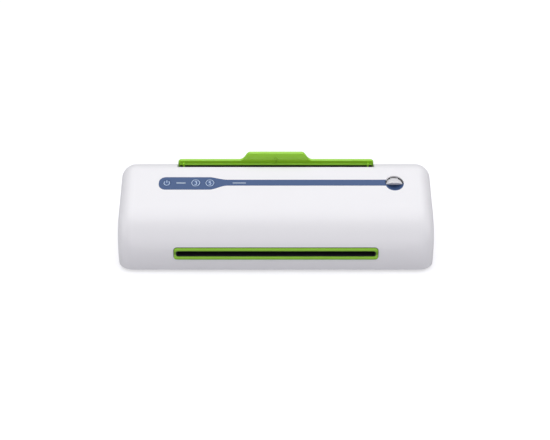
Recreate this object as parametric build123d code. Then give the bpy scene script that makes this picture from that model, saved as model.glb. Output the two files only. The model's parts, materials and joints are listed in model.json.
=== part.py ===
from build123d import *
from math import acos, cos, pi, radians, sin, tan
import os

# Pouch laminator, 9 inch, two heated rollers. Millimetres, +Z up, +Y to the rear, +X to the right.
# "depth" is the distance behind the front foot of the cover, so Y = Y_FRONT + depth.

# ---- driving dimensions: body -------------------------------------------------------------
WIDTH = 390.0
Y_FRONT = -65.7
COVER_BOTTOM = 3.5
WALL = 2.5
FRONT_ARC = (60.0, 12.0)
FRONT_RADIUS = 60.0
TOP_SLOPE = 18.0
CREST_DEPTH = 102.0
CREST_RADIUS = 20.0
REAR_LEAN = 8.5
END_RADIUS = 18.5

# ---- driving dimensions: rollers and drive ----------------------------------------------------
ROLLER_DEPTH = 76.0
NIP_Z = 31.0
ROLLER_R = 11.0
NIP_GAP = 0.4
SLEEVE_HALF = 121.5
SHAFT_R = 4.0
SHAFT_LEFT = -144.0
SHAFT_RIGHT = 150.4
CLIP_T = 0.8
RUN_FIT = 0.05
PLATE_IN = 138.25
PLATE_T = 1.5
BUSH_IN = 136.4
BUSH_OUT = 141.0
BUSH_R = 8.0
BLOCK_IN = 128.6
BLOCK_HALF = 6.5
BOSS_HALF = 6.0
TIE_BARS = [(46.0, 44.5), (93.0, 55.0)]
TIE_R = 3.0
FRAME_SCREWS = [43.0, 102.0]
GEAR_X = 142.0
GEAR_W = 6.0
ROLLER_TEETH = 20
IDLER_TEETH = 24
PINION_TEETH = 12
PRESSURE_ANGLE = 20.0
TOOTH_THIN = 0.94
FLANK_STEPS = 5
IDLER_LINE = 162.0
IDLER_BORE = 3.0
MOTOR_X = 152.0
MOTOR_LONG = 15.0
MOTOR_R = 19.5
MOTOR_EAR = 23.5
MOTOR_EAR_ANGLES = (40, 220)
MOTOR_SHAFT_R = 2.5

# ---- driving dimensions: release --------------------------------------------------------------
LIFT = 1.7
LEVER_OPEN = 28.0
RELEASE_DEPTH = 87.0
RELEASE_Z = 77.6
RELEASE_R = 2.0
CRANK = 7.0
CRANK_DROP = 73.9
CRANK_X = (128.2, 130.4)
CRANK_PIN_R = 1.25
LINK_X = (126.6, 127.8)
SPRING_X = 132.5
SPRING_R = 3.4
SPRING_WIRE = 0.5
SPRING_SEAT = 64.0
SPRING_TURNS = 7
LEVER_X = 148.0
LEVER_R = 10.4
RECESS_R = 11.5

# ---- driving dimensions: controls, in the plane of the sloping top -----------------------------
PANEL_DEPTH = 76.5
STRIP_T = 1.5
STRIP_LEFT = -146.0
STRIP_TAPER = (-82.0, -60.0)
STRIP_THICK = (-10.2, 9.2)
STRIP_THIN = (-3.9, 5.2)
KEYS = {"power_button": (-136.0, 4.6), "thin_pouch_button": (-100.0, 5.6), "thick_pouch_button": (-82.3, 5.6)}
KEY_GAP = 0.3
KEY_PROUD = 0.3
LIGHTS = {"ready_light": (-118.3, 11.5, 1.8), "status_light": (-45.7, 16.5, 1.6)}
STRIP_CORNER = 8.6
STRIP_PROUD = 0.1
POCKET_R = 10.8
POCKET_DEEP = 6.4
BOARD_TOP = -9.5
BOARD_T = 1.5
POWER_BOARD = (-146.0, -131.2)
CONTROL_BOARD = (-124.0, -36.0)
BOARD_Y = (-8.0, 2.8)
BOARD_BOSSES = [-142.5, -110.5, -90.8, -64.0, -40.0]
BOARD_BOSS_Y = -5.0

# ---- driving dimensions: tray and openings -----------------------------------------------------
TRAY_HALF = 123.5
TRAY_LEAN = 14.0
TRAY_T = 3.0
HINGE_DEPTH = 126.2
HINGE_Z = 28.0
TRAY_LENGTH = 67.1
TAB_FOOT = 46.0
TAB_TOP = 33.0
TAB_HEIGHT = 9.9
TAB_BEND = 24.0
TAB_START = 65.1
BEAD_DROP = 6.6
BEAD_R = 1.3
GRIP_WIDTH = 10.0
GRIP_T = 1.0
PIN_R = 1.5
RECESS_DEPTH = 101.5
REAR_SILL = 23.0
SIDE_GAP = 0.7
RIB_X = 116.4
BEZEL_HALF = 125.0
BEZEL_Z = (19.6, 34.2)
BEZEL_PROUD = 0.9
BEZEL_CORNER = 4.0
COLLAR_HALF = 123.3
COLLAR_Z = (21.6, 32.6)
COLLAR_DEPTH = 9.0
THROAT_WALL = 0.8
SLOT_HALF = 121.5
SLOT_Z = (24.2, 30.0)
SLOT_CORNER = 2.0
GUIDE_T = 1.2
GUIDE_HALF = 121.0

# ---- driving dimensions: heat, boards and the rest of the case ----------------------------------
SHOE_HALF = 118.0
SHOE_GAP = 2.6
LOWER_SHOE_GAP = 1.4
SHOE_T = 2.4
UPPER_SHOE = (-16.0, 112.0)
LOWER_SHOE = (-52.0, 22.0)
HEATER_T = 0.9
UPPER_HEATER = (20.0, 77.0)
LOWER_HEATER = (-48.0, 8.0)
MAIN_BOARD_Z = 12.0
MAIN_BOARD_T = 1.6
MAIN_BOARD = (-184.0, -146.0, 34.0, 98.0)
MAIN_BOARD_POSTS = [(-180.0, 38.0), (-150.0, 38.0), (-180.0, 94.0), (-150.0, 94.0)]
CASE_SCREWS = [(178.0, 22.0), (178.0, 112.0)]
FEET = [(160.0, 20.0), (160.0, 108.0)]
PAN_BOTTOM = 2.5
PAN_FLOOR = 2.2
PAN_TOP = 14.0
GLAND_X = -166.0
GLAND_Z = 24.0
GLAND_BORE = 3.6

LOWER_Z = NIP_Z - ROLLER_R - NIP_GAP / 2
UPPER_Z = NIP_Z + ROLLER_R + NIP_GAP / 2
MODULE = (UPPER_Z - LOWER_Z) / ROLLER_TEETH
PANEL_Z = FRONT_ARC[1] + (FRONT_RADIUS + (PANEL_DEPTH - FRONT_ARC[0]) * sin(radians(TOP_SLOPE))) / cos(
    radians(TOP_SLOPE))


# ---- helpers ------------------------------------------------------------------------------------
def at(depth, z, x=0.0):
    return Vector(x, Y_FRONT + depth, z)


def block(x0, x1, depth0, depth1, z0, z1):
    size = (x1 - x0, depth1 - depth0, z1 - z0)
    return Pos((x0 + x1) / 2, Y_FRONT + (depth0 + depth1) / 2, (z0 + z1) / 2) * Box(*size)


def rod(depth, z, radius, x0, x1):
    return Pos((x0 + x1) / 2, Y_FRONT + depth, z) * Rot(0, 90, 0) * Cylinder(radius, x1 - x0)


def post(x, depth, radius, z0, z1):
    return Pos(x, Y_FRONT + depth, (z0 + z1) / 2) * Cylinder(radius, z1 - z0)


def slab(points, x0, x1):
    """Prism of a side-view polygon, given as (depth, z) corners, between two X positions."""
    outline = Polyline(*[at(depth, z, x0) for depth, z in points], close=True)
    return extrude(make_face(outline), amount=x1 - x0, dir=(1, 0, 0))


def arc_band(depth, z, inner, outer, start, end, half):
    """Curved plate round an X axis, between two angles measured from the rear upwards."""
    def point(radius, angle):
        return at(depth + radius * cos(radians(angle)), z + radius * sin(radians(angle)), -half)
    middle = (start + end) / 2
    edges = [
        ThreePointArc(point(outer, start), point(outer, middle), point(outer, end)),
        Line(point(outer, end), point(inner, end)),
        ThreePointArc(point(inner, end), point(inner, middle), point(inner, start)),
        Line(point(inner, start), point(outer, start)),
    ]
    return extrude(make_face(edges), amount=2 * half, dir=(1, 0, 0))


def pair(shape):
    """The shape and its mirror image on the other side of the machine, as two solids."""
    return Compound(children=[shape, mirror(shape, about=Plane.YZ)])


def tube_along(points, radius):
    path = Spline(*points)
    start = Plane(origin=path @ 0, z_dir=path % 0)
    return sweep(start * Circle(radius), path=path)


def on_panel(shape):
    """Place a shape made in the top panel's own frame: x across, y up the slope, z outwards."""
    return Location((0, Y_FRONT + PANEL_DEPTH, PANEL_Z), (TOP_SLOPE, 0, 0)) * shape


# ---- outer form -----------------------------------------------------------------------------------
def crest_z():
    slope = radians(TOP_SLOPE)
    run = (CREST_DEPTH - FRONT_ARC[0]) * sin(slope)
    return FRONT_ARC[1] + (FRONT_RADIUS - CREST_RADIUS + run) / cos(slope)


def form(inset, bottom):
    """The body's outer form, shrunk by inset: a domed front, a sloping top and a leaning rear."""
    half = WIDTH / 2 - inset
    slope = radians(TOP_SLOPE)
    lean = radians(REAR_LEAN)
    arc_y, arc_z = FRONT_ARC
    front_r = FRONT_RADIUS - inset
    crest_r = CREST_RADIUS - inset
    crest = crest_z()

    def front(angle):
        return at(arc_y - front_r * cos(angle), arc_z + front_r * sin(angle), -half)

    def rear(angle):
        return at(CREST_DEPTH + crest_r * sin(angle), crest + crest_r * cos(angle), -half)

    front_end = pi / 2 - slope
    rear_end = pi / 2 - lean
    top_of_rear = rear(rear_end)
    foot_depth = top_of_rear.Y - Y_FRONT + (top_of_rear.Z - bottom) * tan(lean)
    edges = [
        Line(at(inset, bottom, -half), front(0)),
        ThreePointArc(front(0), front(front_end / 2), front(front_end)),
        Line(front(front_end), rear(-slope)),
        ThreePointArc(rear(-slope), rear((rear_end - slope) / 2), top_of_rear),
        Line(top_of_rear, at(foot_depth, bottom, -half)),
        Line(at(foot_depth, bottom, -half), at(inset, bottom, -half)),
    ]
    body = extrude(make_face(edges), amount=2 * half, dir=(1, 0, 0))
    ends = [edge for edge in body.edges()
            if abs(edge.center().X) > half - 0.01 and edge.center().Z > bottom + 0.01]
    return fillet(ends, END_RADIUS - inset)


# ---- control strip and what sits in it ---------------------------------------------------------
def strip_face(grow):
    """Outline of the strip: a thick left end that narrows to a thin band running to the recess."""
    low, high = STRIP_THICK[0] - grow, STRIP_THICK[1] + grow
    thin_low, thin_high = STRIP_THIN[0] - grow, STRIP_THIN[1] + grow
    turn, narrow = STRIP_TAPER
    left = STRIP_LEFT - grow
    corner = STRIP_CORNER
    nick = corner * (1 - cos(radians(45)))
    edges = [
        Line((left + corner, high), (turn, high)),
        Spline((turn, high), (narrow, thin_high), tangents=((1, -0.12), (1, -0.02))),
        Line((narrow, thin_high), (LEVER_X, thin_high)),
        Line((LEVER_X, thin_high), (LEVER_X, thin_low)),
        Line((LEVER_X, thin_low), (narrow, thin_low)),
        Spline((narrow, thin_low), (turn, low), tangents=((-1, -0.02), (-1, -0.12))),
        Line((turn, low), (left + corner, low)),
        ThreePointArc((left + corner, low), (left + nick, low + nick), (left, low + corner)),
        Line((left, low + corner), (left, high - corner)),
        ThreePointArc((left, high - corner), (left + nick, high - nick), (left + corner, high)),
    ]
    return make_face(edges) + Pos(LEVER_X, 0) * Circle(RECESS_R + grow)


def panel_holes(clear, deep):
    """Cutters for the keys and lights, all the way through the panel."""
    cutters = [Pos(x, 0, 0) * Cylinder(radius + clear, deep) for x, radius in KEYS.values()]
    for x, length, height in LIGHTS.values():
        cutters.append(Pos(x, 0, 0) * Box(length + 0.1, height + 0.1, deep))
    return cutters


def control_strip():
    """Blue inlay, with a cup under its round end: the front of the cup is the dished finger pocket."""
    strip = extrude(strip_face(0), amount=STRIP_T + STRIP_PROUD, dir=(0, 0, -1))
    strip = Pos(0, 0, STRIP_PROUD) * strip
    recess = Pos(LEVER_X, 0) * Cylinder(RECESS_R + 0.01, 20)
    strip -= recess & Pos(LEVER_X, RECESS_R, 0) * Box(3 * RECESS_R, 2 * RECESS_R, 20)
    for cutter in panel_holes(KEY_GAP, 20):
        strip -= cutter
    dish_r = (POCKET_R**2 + POCKET_DEEP**2) / (2 * POCKET_DEEP)
    cup = Pos(LEVER_X, 0, -4.3) * Cylinder(RECESS_R, 8.8)
    cup &= Pos(LEVER_X, -RECESS_R + 3, 0) * Box(3 * RECESS_R, 2 * RECESS_R, 30)
    cup += strip
    cup -= Pos(LEVER_X, 0, dish_r - POCKET_DEEP) * Sphere(dish_r)
    cup -= recess & Pos(LEVER_X, RECESS_R - 0.6, 6.0) * Box(3 * RECESS_R, 2 * RECESS_R, 20)
    return on_panel(cup)


def key(x, radius):
    cap = Pos(x, 0, (KEY_PROUD - 3.0) / 2) * Cylinder(radius, KEY_PROUD + 3.0)
    cap = fillet(cap.edges().sort_by(Axis.Z)[-1:], 0.25)
    flange = Pos(x, 0, -3.5) * Cylinder(radius + 1.0, 1.0)
    stem = Pos(x, 0, -4.5) * Cylinder(1.5, 1.2)
    return on_panel(cap + flange + stem)


def light(x, length, height):
    return on_panel(Pos(x, 0, (BOARD_TOP + 0.3) / 2) * Box(length, height, 0.3 - BOARD_TOP))


def release_lever():
    rise = 0.8
    rim = 3.2
    dome_r = (LEVER_R**2 + (rise + rim)**2) / (2 * (rise + rim))
    lever = Pos(LEVER_X, 0, rise - dome_r) * Sphere(dome_r)
    lever &= Pos(LEVER_X, 0, 0) * Cylinder(LEVER_R, 2 * (rim + 0.4))
    lever &= Pos(LEVER_X, LEVER_R, 0) * Box(3 * LEVER_R, 2 * LEVER_R, 20)
    lever = on_panel(lever) + rod(RELEASE_DEPTH, RELEASE_Z, 3.2, LEVER_X - 5, LEVER_X + 5)
    lever -= on_panel(Pos(LEVER_X, -1.5, 6.6) * Sphere(7.0))
    return lever - rod(RELEASE_DEPTH, RELEASE_Z, RELEASE_R, LEVER_X - 20, LEVER_X + 20)


# ---- case --------------------------------------------------------------------------------------------
def slot_prism(half, z_low, z_high, corner, depth0, depth1):
    """A flat opening with rounded ends, seen from the front, run through between two depths."""
    face = Plane.XZ * Pos(0, (z_low + z_high) / 2) * RectangleRounded(2 * half, z_high - z_low, corner)
    solid = extrude(face, amount=depth1 - depth0, dir=(0, 1, 0))
    return Pos(0, Y_FRONT + depth0, 0) * solid


def gland_place(z):
    wall_y = CREST_DEPTH + CREST_RADIUS * cos(radians(REAR_LEAN))
    wall_z = crest_z() + CREST_RADIUS * sin(radians(REAR_LEAN))
    depth = wall_y + (wall_z - z) * tan(radians(REAR_LEAN))
    return Location((GLAND_X, Y_FRONT + depth, z), (REAR_LEAN - 90, 0, 0))


def top_cover():
    outer = form(0, COVER_BOTTOM)
    cover = outer - form(WALL, 0)
    opening = TRAY_HALF + SIDE_GAP
    cover -= block(-opening, opening, RECESS_DEPTH, 150, REAR_SILL, 120)
    bosses = [post(side * x, depth, 4.0, 15.0, 120) for x, depth in CASE_SCREWS for side in (-1, 1)]
    for x in BOARD_BOSSES:
        bosses.append(on_panel(Pos(x, BOARD_BOSS_Y, (BOARD_TOP + 10) / 2) * Cylinder(2.6, 10 - BOARD_TOP)))
    for boss in bosses:
        cover += boss & outer
    for x, depth in CASE_SCREWS:
        for side in (-1, 1):
            cover -= post(side * x, depth, 1.4, 0, 30)
    for x in BOARD_BOSSES:
        cover -= on_panel(Pos(x, BOARD_BOSS_Y, BOARD_TOP) * Cylinder(0.9, 12))
    cover -= rod(HINGE_DEPTH, HINGE_Z, PIN_R + RUN_FIT, -128, 128)
    seat = extrude(strip_face(STRIP_PROUD), amount=STRIP_T + 8, dir=(0, 0, 1))
    cover -= on_panel(Pos(0, 0, -STRIP_T) * seat)
    cover -= on_panel(Pos(LEVER_X, 0, 0) * Cylinder(RECESS_R + STRIP_PROUD, 20))
    for cutter in panel_holes(KEY_GAP, 12):
        cover -= on_panel(cutter)
    low, high = COLLAR_Z
    cover -= slot_prism(COLLAR_HALF + 0.15, low - 0.15, high + 0.15, BEZEL_CORNER, -5, 20)
    cover -= gland_place(GLAND_Z) * Cylinder(6.0, 20)
    return cover


def recess_liner():
    """Three walls inside the cover round the tray's recess; the end walls carry the tray's pins."""
    opening = TRAY_HALF + SIDE_GAP
    cheek = block(opening, opening + WALL, RECESS_DEPTH - WALL, 150, REAR_SILL - 3, 120)
    liner = block(-opening - WALL, opening + WALL, RECESS_DEPTH - WALL, RECESS_DEPTH, 45, 120)
    liner += cheek + mirror(cheek, about=Plane.YZ)
    liner &= form(WALL, 0)
    return liner - rod(HINGE_DEPTH, HINGE_Z, PIN_R + RUN_FIT, -200, 200)


def exit_bezel():
    """Frame round the exit: a flange that follows the domed front, and a collar through the cover."""
    skin = form(-BEZEL_PROUD, COVER_BOTTOM) - form(0.0, 0)
    flange = skin & slot_prism(BEZEL_HALF, *BEZEL_Z, BEZEL_CORNER, -5, 40)
    collar = form(0.0, 0) & slot_prism(COLLAR_HALF, *COLLAR_Z, BEZEL_CORNER - 1, -5, COLLAR_DEPTH)
    return flange + collar - throat_prism(40)


def throat_prism(depth):
    low, high = SLOT_Z
    return slot_prism(SLOT_HALF + THROAT_WALL, low - THROAT_WALL, high + THROAT_WALL,
                      SLOT_CORNER + THROAT_WALL, -5, depth)


def exit_throat():
    """Dark tube inside the bezel that the pouch leaves through."""
    tube = form(0.0, 0) & throat_prism(COLLAR_DEPTH + 1)
    return tube - slot_prism(SLOT_HALF, *SLOT_Z, SLOT_CORNER, -5, 40)


def base_pan():
    inset = WALL + 0.4
    wall = 1.8
    pan = form(inset, PAN_BOTTOM) & block(-200, 200, -5, 150, PAN_BOTTOM, PAN_TOP)
    pan -= form(inset + wall, 0) & block(-200, 200, -5, 150, PAN_BOTTOM + PAN_FLOOR, 20)
    for x, depth in CASE_SCREWS:
        for side in (-1, 1):
            pan += post(side * x, depth, 4.0, PAN_BOTTOM + 1, 14.7)
            pan -= post(side * x, depth, 1.7, 0, 20)
            pan -= post(side * x, depth, 3.2, 0, PAN_BOTTOM + 3)
    for x, depth in FEET:
        for side in (-1, 1):
            pan -= post(side * x, depth, 2.5, 0, 8)
    for x, depth in MAIN_BOARD_POSTS:
        pan += post(x, depth, 3.0, PAN_BOTTOM + 1, MAIN_BOARD_Z)
        pan -= post(x, depth, 1.0, PAN_BOTTOM + 3, MAIN_BOARD_Z + 1)
    for row in range(9):
        depth = 40 + row * 6.0
        pan -= block(-70, 70, depth, depth + 2.5, 0, 6)
    return pan


def rubber_feet():
    feet = []
    for x, depth in FEET:
        for side in (-1, 1):
            foot = post(side * x, depth, 7.0, 0, PAN_BOTTOM)
            foot = fillet(foot.edges().sort_by(Axis.Z)[:1], 0.8)
            feet.append(foot + post(side * x, depth, 2.4, PAN_BOTTOM - 0.5, 7.0))
    return Compound(children=feet)


def cord_gland():
    gland = Pos(0, 0, 0.75) * Cylinder(8.0, 1.5)
    gland = fillet(gland.edges().sort_by(Axis.Z)[-1:], 0.6)
    gland += Pos(0, 0, -4.0) * Cylinder(5.9, 8.0)
    gland += Pos(0, 0, -4.9) * Cylinder(7.5, 3.0)
    return gland_place(GLAND_Z) * (gland - Cylinder(GLAND_BORE, 40))


# ---- input tray --------------------------------------------------------------------------------------
def tray_place():
    """Tray frame: z runs up the closed tray from the hinge line, y is through its thickness."""
    return Location((0, Y_FRONT + HINGE_DEPTH, HINGE_Z), (TRAY_LEAN, 0, 0))


def bent_tab():
    """Plate that carries on from the panel and curls back, as wide as the tab's foot."""
    outer, inner = TAB_BEND + TRAY_T / 2, TAB_BEND - TRAY_T / 2
    curl = Pos(0, TAB_BEND, TAB_START) * Rot(0, 90, 0) * (Cylinder(outer, 100) - Cylinder(inner, 120))
    return curl & Pos(0, TAB_BEND / 2 - 3, TAB_START + 10) * Box(110, TAB_BEND + 6, 20)


def input_tray():
    half = TRAY_HALF
    face = Pos(0, TRAY_LENGTH / 2) * RectangleRounded(2 * half, TRAY_LENGTH, 5.0)
    foot, shoulder = TAB_FOOT, TAB_TOP
    top = TRAY_LENGTH + TAB_HEIGHT
    tab = make_face([
        Line((-foot, TAB_START), (-foot, TRAY_LENGTH)),
        Spline((-foot, TRAY_LENGTH), (-shoulder, top), tangents=((1, 0.05), (1, 0.25))),
        Line((-shoulder, top), (shoulder, top)),
        Spline((shoulder, top), (foot, TRAY_LENGTH), tangents=((1, -0.25), (1, -0.05))),
        Line((foot, TRAY_LENGTH), (foot, TAB_START)),
        Line((foot, TAB_START), (-foot, TAB_START)),
    ])
    panel = Pos(0, TRAY_T / 2, 0) * extrude(Plane.XZ * face, amount=TRAY_T, dir=(0, -1, 0))
    tab_prism = Pos(0, 20, 0) * extrude(Plane.XZ * tab, amount=40, dir=(0, -1, 0))
    panel += tab_prism & bent_tab()
    panel -= Pos(0, 0, TRAY_T / 2 - 10) * Box(300, 20, 20)
    panel += Rot(0, 90, 0) * Cylinder(TRAY_T, 2 * half)
    panel += Pos(0, -TRAY_T / 2, TRAY_LENGTH - BEAD_DROP) * Rot(0, 90, 0) * Cylinder(BEAD_R, 2 * half - 4)
    for x in (-RIB_X, RIB_X):
        panel += Pos(x, -TRAY_T / 2 - 1.6, TRAY_LENGTH / 2 + 3) * Box(2.0, 3.6, TRAY_LENGTH - 12)
    for x in (-60, -20, 20, 60):
        panel += Pos(x, -TRAY_T / 2 - 0.4, TRAY_LENGTH / 2 - 4) * Box(1.6, 1.2, TRAY_LENGTH - 28)
    tray = tray_place() * panel
    return tray - rod(HINGE_DEPTH, HINGE_Z, PIN_R, -200, 200) + (
        rod(HINGE_DEPTH, HINGE_Z, PIN_R, -half + 12, half - 12))


def tray_grip():
    """Dark rubber strips on the tray's face below the bead, either side of the edge guides."""
    top = TRAY_LENGTH - BEAD_DROP - BEAD_R
    centre = Pos(0, -TRAY_T / 2 - GRIP_T / 2, top - GRIP_WIDTH / 2)
    strip = centre * Box(2 * TRAY_HALF - 4, GRIP_T, GRIP_WIDTH)
    for x in (-RIB_X, RIB_X):
        strip -= Pos(x, 0, TRAY_LENGTH / 2) * Box(2.1, 20, TRAY_LENGTH)
    return tray_place() * strip


def tray_hinge_pins():
    return pair(rod(HINGE_DEPTH, HINGE_Z, PIN_R, TRAY_HALF - 12, TRAY_HALF + SIDE_GAP + WALL))


# ---- rollers, bearings and side plates ------------------------------------------------------------------
def roller_shaft(z):
    shaft = rod(ROLLER_DEPTH, z, SHAFT_R, SHAFT_LEFT, SHAFT_RIGHT)
    for x in (SHAFT_LEFT + 1.0, SHAFT_RIGHT - 1.0 - CLIP_T):
        groove = rod(ROLLER_DEPTH, z, SHAFT_R + 1, x, x + CLIP_T)
        shaft -= groove - rod(ROLLER_DEPTH, z, SHAFT_R - 0.7, x, x + CLIP_T)
    return shaft


def roller_sleeve(z):
    tube = rod(ROLLER_DEPTH, z, ROLLER_R, -SLEEVE_HALF, SLEEVE_HALF)
    return tube - rod(ROLLER_DEPTH, z, SHAFT_R, -SLEEVE_HALF, SLEEVE_HALF)


def clip(depth, z, radius, x):
    """Open spring clip in a shaft groove."""
    washer = rod(depth, z, radius + 2.0, x, x + CLIP_T) - rod(depth, z, radius - 0.7, x, x + CLIP_T)
    return washer - block(x - 1, x + 2, depth - 1.8, depth + 1.8, z - radius - 3, z)


def shaft_clips(z):
    right = SHAFT_RIGHT - 1.0 - CLIP_T
    return Compound(children=[clip(ROLLER_DEPTH, z, SHAFT_R, SHAFT_LEFT + 1.0),
                              clip(ROLLER_DEPTH, z, SHAFT_R, right)])


def lower_bearing():
    bush = rod(ROLLER_DEPTH, LOWER_Z, BUSH_R, BUSH_IN, PLATE_IN - 0.05)
    bush += rod(ROLLER_DEPTH, LOWER_Z, BOSS_HALF, BUSH_IN, BUSH_OUT)
    return bush - rod(ROLLER_DEPTH, LOWER_Z, SHAFT_R + RUN_FIT, 100, 150)


def upper_bearing():
    depth0, depth1 = ROLLER_DEPTH - BLOCK_HALF, ROLLER_DEPTH + BLOCK_HALF
    bearing = block(BLOCK_IN, PLATE_IN - 0.15, depth0, depth1, UPPER_Z - BLOCK_HALF, UPPER_Z + BLOCK_HALF)
    depth0, depth1 = ROLLER_DEPTH - BOSS_HALF, ROLLER_DEPTH + BOSS_HALF
    bearing += block(BLOCK_IN, BUSH_OUT, depth0, depth1, UPPER_Z - BOSS_HALF, UPPER_Z + BOSS_HALF)
    bearing += rod(ROLLER_DEPTH, UPPER_Z, 6.0, LINK_X[0], BLOCK_IN)
    bearing += post(SPRING_X, ROLLER_DEPTH, 1.6, UPPER_Z, UPPER_Z + BLOCK_HALF + 3)
    return bearing - rod(ROLLER_DEPTH, UPPER_Z, SHAFT_R + RUN_FIT, 100, 150)


def pressure_spring():
    """Coil between the bearing block and the seat tab, with flat end rings."""
    low = UPPER_Z + BLOCK_HALF + SPRING_WIRE + 0.05
    high = SPRING_SEAT - SPRING_WIRE - 0.05
    radius = SPRING_R - SPRING_WIRE
    coil_path = Helix(pitch=(high - low) / SPRING_TURNS, height=high - low, radius=radius)
    start = Plane(origin=coil_path @ 0, z_dir=coil_path % 0)
    coil = sweep(start * Circle(SPRING_WIRE), path=coil_path, is_frenet=True)
    return Pos(SPRING_X, Y_FRONT + ROLLER_DEPTH, low) * coil


def lift_link():
    """Strap from the bearing block up to a level slot that the crank pin works in."""
    pin_depth, pin_z = crank_pin()
    swing = CRANK * (cos(radians(CRANK_DROP - LEVER_OPEN)) - cos(radians(CRANK_DROP)))
    low, high = pin_depth - swing, pin_depth
    half = CRANK_PIN_R + 0.25
    end = CRANK_PIN_R + 0.3
    head = [(low - end - 1.6, pin_z - half - 1.8), (high + end + 1.6, pin_z - half - 1.8),
            (high + end + 1.6, pin_z + half + 1.3), (low - end - 1.6, pin_z + half + 1.3)]
    strap = [(ROLLER_DEPTH - 5, UPPER_Z + 7), (ROLLER_DEPTH + 5, UPPER_Z + 7),
             (high - 0.5, pin_z - half - 1.5), (low - 2.5, pin_z - half - 1.5)]
    link = slab(head, *LINK_X) + slab(strap, *LINK_X)
    link += rod(ROLLER_DEPTH, UPPER_Z, 10.0, *LINK_X)
    link -= rod(ROLLER_DEPTH, UPPER_Z, 6.0, 120, 130)
    return link - block(120, 130, low - end, high + end, pin_z - half, pin_z + half)


def crank_pin():
    drop = radians(CRANK_DROP)
    return RELEASE_DEPTH - CRANK * cos(drop), RELEASE_Z - CRANK * sin(drop)


def release_crank():
    pin_depth, pin_z = crank_pin()
    web = rod(RELEASE_DEPTH, RELEASE_Z, 3.3, *CRANK_X) + rod(pin_depth, pin_z, 2.4, *CRANK_X)
    web += slab([(RELEASE_DEPTH - 2.4, RELEASE_Z), (RELEASE_DEPTH + 2.4, RELEASE_Z),
                 (pin_depth + 2.2, pin_z), (pin_depth - 2.2, pin_z)], *CRANK_X)
    web += rod(pin_depth, pin_z, CRANK_PIN_R, 125.6, CRANK_X[1])
    return web - rod(RELEASE_DEPTH, RELEASE_Z, RELEASE_R, 120, 140)


def side_plate():
    outline = [(30, 5.0), (106, 5.0), (106, 34), (96, 64), (90.8, 68), (90.8, 79.5), (89.0, 81.2),
               (85.4, 80.3), (84.0, 78.5), (84.0, 68), (62, 67), (30, 40)]
    plate = slab(outline, PLATE_IN, PLATE_IN + PLATE_T)
    plate += block(PLATE_IN, PLATE_IN + 9, 40, 46, 5.0, 6.5)
    plate += block(PLATE_IN, PLATE_IN + 9, 98, 106, 5.0, 6.5)
    plate += block(SPRING_X - 4, PLATE_IN + PLATE_T, ROLLER_DEPTH - 5, ROLLER_DEPTH + 5, SPRING_SEAT,
                   SPRING_SEAT + PLATE_T)
    plate -= rod(ROLLER_DEPTH, LOWER_Z, BOSS_HALF + 0.02, 120, 160)
    side = BOSS_HALF + 0.1
    plate -= block(120, 160, ROLLER_DEPTH - side, ROLLER_DEPTH + side, UPPER_Z - side,
                   UPPER_Z + side + LIFT + 0.3)
    plate -= rod(RELEASE_DEPTH, RELEASE_Z, RELEASE_R + RUN_FIT, 120, 160)
    for depth in FRAME_SCREWS:
        plate -= post(PLATE_IN + 6, depth, 1.6, 0, 10)
    for depth, z in TIE_BARS:
        plate -= rod(depth, z, 1.6, 120, 160)
    return plate


def tie_bars():
    bars = [rod(depth, z, TIE_R, -PLATE_IN + 0.02, PLATE_IN - 0.02) for depth, z in TIE_BARS]
    holes = [rod(depth, z, 1.5, x, x + 8) for depth, z in TIE_BARS for x in (-PLATE_IN, PLATE_IN - 8)]
    return Compound(children=[bar - holes for bar in bars])


def screw(head_r, head_h, shank_r, length):
    """Pan head screw along +Z, head underside at z = 0, with a cross recess."""
    body = Pos(0, 0, -head_h / 2) * Cylinder(head_r, head_h)
    body = fillet(body.edges().sort_by(Axis.Z)[:1], head_h * 0.35)
    body += Pos(0, 0, length / 2) * Cylinder(shank_r, length)
    for turn in (0, 90):
        body -= Pos(0, 0, -head_h) * Rot(0, 0, turn) * Box(head_r * 1.1, 0.5, head_h)
    return body


def case_screws():
    seat = PAN_BOTTOM + 3
    return Compound(children=[Pos(side * x, Y_FRONT + depth, seat) * screw(2.9, 1.8, 1.38, 20)
                              for x, depth in CASE_SCREWS for side in (-1, 1)])


def frame_screws():
    """Screws through the plates into the tie bars, and through the plate feet into the floor."""
    screws = []
    for side in (-1, 1):
        face = side * (PLATE_IN + PLATE_T)
        for depth, z in TIE_BARS:
            place = Location((face, Y_FRONT + depth, z), (0, -90 * side, 0))
            screws.append(place * screw(2.8, 1.6, 1.45, 8.5))
    return Compound(children=screws)


def foot_screws():
    screws = []
    for side in (-1, 1):
        for depth in FRAME_SCREWS:
            place = Location((side * (PLATE_IN + 6), Y_FRONT + depth, 6.5), (180, 0, 0))
            screws.append(place * screw(2.6, 1.3, 1.45, 1.7))
    return Compound(children=screws)


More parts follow.
